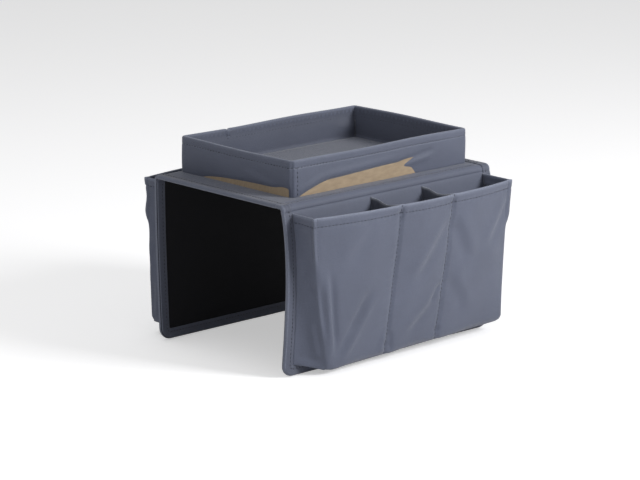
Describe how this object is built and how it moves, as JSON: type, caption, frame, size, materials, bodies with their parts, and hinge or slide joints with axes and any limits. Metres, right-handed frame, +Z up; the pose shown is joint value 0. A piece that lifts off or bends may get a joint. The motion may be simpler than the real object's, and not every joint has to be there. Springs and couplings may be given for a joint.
{
  "type": "sofa arm tray organizer",
  "caption": "Padded fabric saddle for a sofa arm with a low boarded tray on top and a hinged flap with open pockets on each side.",
  "frame": {"origin": "middle of the saddle's underside, the face that rests on the sofa arm", "axes": "+X along the sofa arm, +Y across it towards the far flap, +Z up; the near flap with the deep pockets faces -Y"},
  "size_m": [0.32, 0.3137, 0.233],
  "materials": {
    "cover_cloth": "dark slate-blue woven polyester with a satin sheen",
    "lining_cloth": "near-black plain lining cloth",
    "divider_cloth": "dark slate woven polyester",
    "binding_tape": "folded dark slate binding tape",
    "board": "grey-brown stiffening board, sewn in and hidden"
  },
  "bodies": {
    "saddle": {"saddle_cover": "cover_cloth", "saddle_board": "board", "saddle_lining": "lining_cloth", "saddle_binding_left": "binding_tape", "saddle_binding_right": "binding_tape", "tray_wall_cover": "cover_cloth", "tray_lining": "lining_cloth", "tray_floor_board": "board", "tray_board_near": "board", "tray_board_far": "board", "tray_board_left": "board", "tray_board_right": "board", "near_fold_cover": "cover_cloth", "near_fold_lining": "lining_cloth", "near_fold_tape_left": "binding_tape", "near_fold_tape_right": "binding_tape", "far_fold_cover": "cover_cloth", "far_fold_lining": "lining_cloth", "far_fold_tape_left": "binding_tape", "far_fold_tape_right": "binding_tape"},
    "near_flap": {"near_flap_cover": "cover_cloth", "near_flap_board": "board", "near_flap_lining": "lining_cloth", "near_flap_binding": "binding_tape", "near_pocket": "cover_cloth", "near_divider_left": "divider_cloth", "near_divider_right": "divider_cloth"},
    "far_flap": {"far_flap_cover": "cover_cloth", "far_flap_board": "board", "far_flap_lining": "lining_cloth", "far_flap_binding": "binding_tape", "far_pocket": "cover_cloth", "far_divider_left": "divider_cloth", "far_divider_right": "divider_cloth"}
  },
  "joints": [
    {"name": "near_flap_hinge", "type": "hinge", "parent": "saddle", "child": "near_flap", "pos_m": [0, -0.1031, -0.0009], "axis": [-1, 0, 0], "range_deg": [-36, 90], "deforming": ["near_fold_cover", "near_fold_lining", "near_fold_tape_left", "near_fold_tape_right"]},
    {"name": "far_flap_hinge", "type": "hinge", "parent": "saddle", "child": "far_flap", "pos_m": [0, 0.1031, -0.0009], "axis": [1, 0, 0], "range_deg": [-88, 90], "deforming": ["far_fold_cover", "far_fold_lining", "far_fold_tape_left", "far_fold_tape_right"]}
  ]
}
